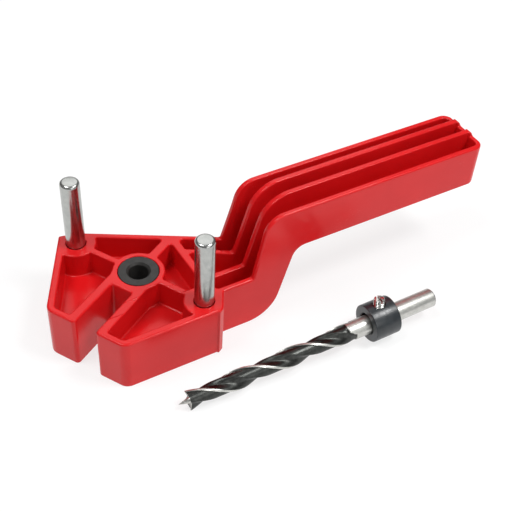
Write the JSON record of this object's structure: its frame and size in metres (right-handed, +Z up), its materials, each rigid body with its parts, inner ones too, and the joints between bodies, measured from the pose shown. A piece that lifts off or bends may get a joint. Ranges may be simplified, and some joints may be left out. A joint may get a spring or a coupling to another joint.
{
  "type": "dowel jig with drill",
  "caption": "Hand-held dowelling jig: triangular head with a drill bush, sight slot and guide pins, raised ribbed handle, and its brad-point drill with stop collar.",
  "frame": {"origin": "middle of the underside of the whole set's bounding box, on the bench the jig and its drill lie on", "axes": "+X along the head's sight slot from its open end towards the back, the longest extent; +Y through both guide pins towards the left pin; +Z up, out of the work face"},
  "size_m": [0.1652, 0.1462, 0.057],
  "materials": {
    "moulded_red": "glossy red moulding",
    "blackened_steel": "blackened, turned",
    "ground_steel": "bright, ground",
    "drill_steel": "bright shank and lands, dark flutes",
    "black_oxide": "satin black oxide",
    "zinc_steel": "zinc plated"
  },
  "bodies": {
    "jig": {"jig_body": "moulded_red", "drill_bush": "blackened_steel", "guide_pin_left": "ground_steel", "guide_pin_right": "ground_steel"},
    "drill": {"drill_bit": "drill_steel"},
    "collar": {"stop_collar": "black_oxide"},
    "screw": {"set_screw": "zinc_steel"}
  },
  "joints": [
    {"name": "drill_lift", "type": "slide", "parent": "jig", "child": "drill", "axis": [0, 0, 1], "range_m": [0, 0.08]},
    {"name": "collar_slide", "type": "slide", "parent": "drill", "child": "collar", "axis": [0.8453, -0.5323, 0.046], "range_m": [-0.005, 0.019]},
    {"name": "set_screw_turn", "type": "hinge", "parent": "collar", "child": "screw", "pos_m": [-0.00425, -0.0559, 0.00797], "axis": [0.0356, 0.1421, 0.9892], "range_deg": [0, 450]}
  ]
}
